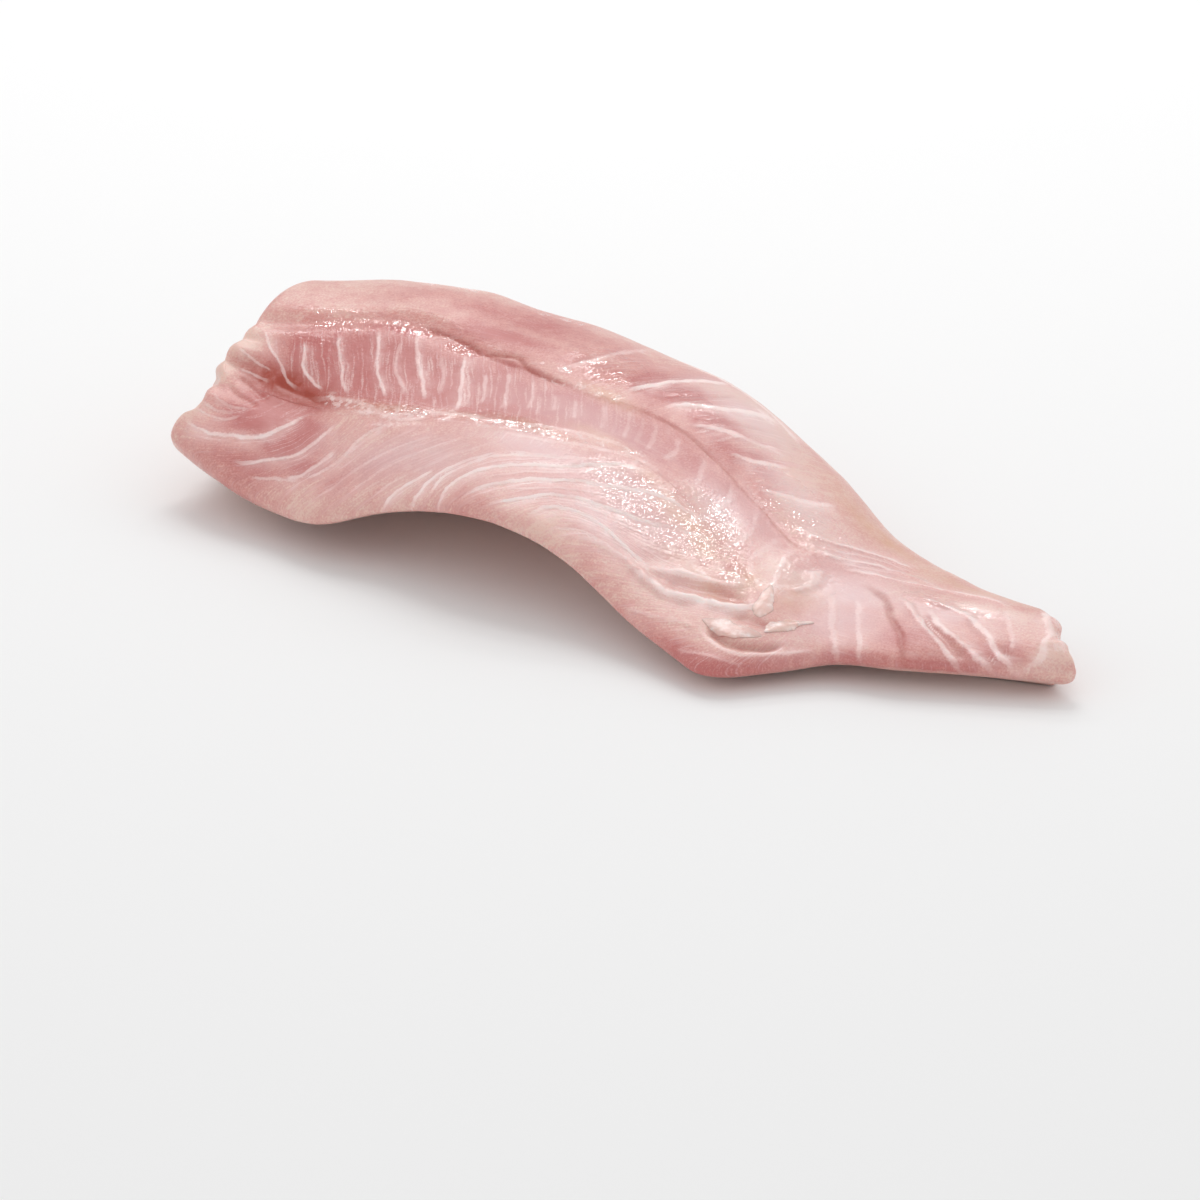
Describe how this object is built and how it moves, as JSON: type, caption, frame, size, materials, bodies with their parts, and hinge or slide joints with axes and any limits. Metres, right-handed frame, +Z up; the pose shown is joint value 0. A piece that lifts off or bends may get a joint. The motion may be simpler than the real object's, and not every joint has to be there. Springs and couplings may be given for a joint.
{
  "type": "nile perch fillet",
  "caption": "Raw skinless fish fillet lying bone side up: thick rounded back, thin belly flap, blunt head end and narrow tail, slightly draped.",
  "frame": {"origin": "on the surface that the fillet lies on, under the middle of its box", "axes": "+X along the fillet from the head end to the tail, +Y from the thin belly rim to the thick back, +Z up"},
  "size_m": [0.2944, 0.1468, 0.0517],
  "materials": {
    "raw_flesh": "moist, slightly translucent pale pink flesh with white tissue lines"
  },
  "bodies": {
    "root": {"fillet": "raw_flesh"}
  },
  "joints": []
}
